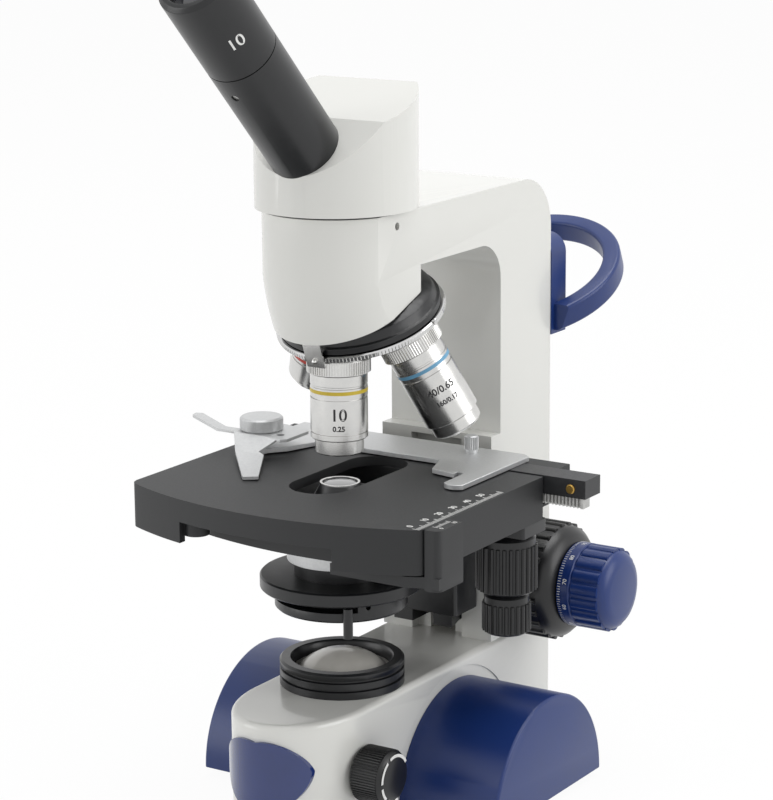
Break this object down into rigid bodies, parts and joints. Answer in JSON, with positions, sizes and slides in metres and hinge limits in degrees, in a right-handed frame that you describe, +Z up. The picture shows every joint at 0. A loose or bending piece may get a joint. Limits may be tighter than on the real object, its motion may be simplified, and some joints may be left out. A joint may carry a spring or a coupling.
{
  "type": "monocular microscope",
  "caption": "Monocular student microscope with inclined tube, revolving objectives, sliding mechanical stage, condenser and lamp on a cast stand.",
  "frame": {"origin": "on the bench, under the middle of the microscope's width and depth, below the feet", "axes": "+Z up, the user and the eyepiece on the -Y side, +X to the user's right"},
  "size_m": [0.1756, 0.28, 0.3413],
  "materials": {
    "white_paint": "gloss",
    "blue_plastic": "satin",
    "badge_blue": "gloss",
    "black_plastic": "satin",
    "black_metal": "satin",
    "stage_black": "matte",
    "satin_silver": "satin",
    "chrome": "polished",
    "steel": "satin",
    "brass": "satin",
    "glass": "polished",
    "frosted_lens": "satin",
    "board": "matte",
    "rubber": "matte"
  },
  "bodies": {
    "stand": {"base_housing": "white_paint", "base_plate": "black_plastic", "base_plate_screws": "steel", "rubber_feet": "rubber", "side_cover_left": "blue_plastic", "side_cover_right": "blue_plastic", "badge_plate": "badge_blue", "lamp_collar": "black_metal", "lamp_lens": "frosted_lens", "led_board": "board", "dimmer_control": "board", "power_socket": "black_plastic", "switch_housing": "black_plastic", "arm_casting": "white_paint", "head_set_screw": "steel", "carrying_handle": "blue_plastic", "handle_screws": "steel", "nosepiece_ring": "black_metal", "nosepiece_pivot": "steel", "detent_spring": "brass", "stage_guide_rail": "black_metal"},
    "dimmer": {"dimmer_knob": "black_plastic"},
    "rocker": {"switch_rocker": "black_plastic"},
    "head": {"head_body": "white_paint", "head_dovetail": "black_metal", "prism": "glass", "eyepiece_tube": "black_metal", "eyepiece_set_screw": "steel"},
    "eyepiece": {"eyepiece_body": "black_metal", "eyepiece_lenses": "glass"},
    "nosepiece": {"nosepiece_disc": "chrome", "objective_10x": "satin_silver", "objective_4x": "satin_silver", "objective_40x": "satin_silver", "objective_front_lenses": "glass"},
    "high_power_nose": {"objective_40x_nose": "satin_silver", "front_lens_40x": "glass"},
    "carriage": {"stage_carriage": "black_metal", "focus_rack": "brass", "stage_base": "stage_black", "condenser_sleeve": "satin_silver", "condenser_body": "black_metal", "condenser_lens": "glass", "iris_leaves": "black_metal"},
    "iris": {"iris_lever": "black_metal"},
    "stage": {"stage_plate": "stage_black", "cross_rail": "stage_black", "stage_knob_bearing": "black_metal"},
    "slide_carrier": {"cross_bar": "stage_black", "slide_holder": "satin_silver", "holder_thumbscrew": "satin_silver"},
    "clip": {"clip_finger": "satin_silver"},
    "coarse_drive": {"coarse_knobs": "black_plastic", "coarse_shaft": "steel"},
    "fine_drive": {"fine_knobs": "blue_plastic", "fine_shaft": "steel"},
    "y_drive": {"stage_y_knob": "black_plastic", "stage_y_pinion": "steel"},
    "x_drive": {"stage_x_knob": "black_plastic", "stage_x_pinion": "steel"}
  },
  "joints": [
    {"name": "stage_height", "type": "slide", "parent": "stand", "child": "carriage", "axis": [0, 0, 1], "range_m": [-0.012, 0.001]},
    {"name": "coarse_focus", "type": "hinge", "parent": "stand", "child": "coarse_drive", "pos_m": [0.0036, 0.05337, 0.0759], "axis": [1, 0, 0], "range_deg": [-8.5, 99]},
    {"name": "fine_focus", "type": "hinge", "parent": "stand", "child": "fine_drive", "pos_m": [0.0036, 0.05337, 0.0759], "axis": [1, 0, 0], "continuous": true},
    {"name": "stage_fore_aft", "type": "slide", "parent": "carriage", "child": "stage", "axis": [0, 1, 0], "range_m": [-0.025, 0.004]},
    {"name": "fore_aft_knob", "type": "hinge", "parent": "stage", "child": "y_drive", "pos_m": [0.0566, -0.00663, 0.1], "axis": [0, 0, 1], "range_deg": [-206, 34]},
    {"name": "slide_travel", "type": "slide", "parent": "stage", "child": "slide_carrier", "axis": [1, 0, 0], "range_m": [-0.022, 0.03]},
    {"name": "travel_knob", "type": "hinge", "parent": "stage", "child": "x_drive", "pos_m": [0.0566, -0.00663, 0.08], "axis": [0, 0, 1], "range_deg": [-247, 181]},
    {"name": "clip_swing", "type": "hinge", "parent": "slide_carrier", "child": "clip", "pos_m": [-0.0481, -0.02243, 0.14], "axis": [0, 0, 1], "range_deg": [-35, 0], "stiffness_Nm_per_rad": 0.15},
    {"name": "iris_opening", "type": "hinge", "parent": "carriage", "child": "iris", "pos_m": [0.0036, -0.04363, 0.0905], "axis": [0, 0, 1], "range_deg": [-80, 4]},
    {"name": "nosepiece_turn", "type": "hinge", "parent": "stand", "child": "nosepiece", "pos_m": [0.0036, -0.02829, 0.1981], "axis": [0, 0.3535, -0.9354], "continuous": true},
    {"name": "high_power_spring", "type": "slide", "parent": "nosepiece", "child": "high_power_nose", "axis": [-0.3535, -0.3307, 0.8751], "range_m": [0, 0.002], "stiffness_N_per_m": 900},
    {"name": "head_turn", "type": "hinge", "parent": "stand", "child": "head", "pos_m": [0.0036, -0.04363, 0.241], "axis": [0, 0, 1], "continuous": true},
    {"name": "eyepiece_pull", "type": "slide", "parent": "head", "child": "eyepiece", "axis": [0, -0.7071, 0.7071], "range_m": [0, 0.025]},
    {"name": "brightness_turn", "type": "hinge", "parent": "stand", "child": "dimmer", "pos_m": [0.0336, -0.06913, 0.0288], "axis": [1, 0, 0], "range_deg": [-135, 135]},
    {"name": "power_rock", "type": "hinge", "parent": "stand", "child": "rocker", "pos_m": [0.0146, 0.07437, 0.024], "axis": [1, 0, 0], "range_deg": [-6, 6]}
  ],
  "couplings": [
    {"joint": "coarse_focus", "follows": "stage_height", "rad_per_m": -142.86},
    {"joint": "fore_aft_knob", "follows": "stage_fore_aft", "rad_per_m": 142.86},
    {"joint": "travel_knob", "follows": "slide_travel", "rad_per_m": -142.86}
  ]
}
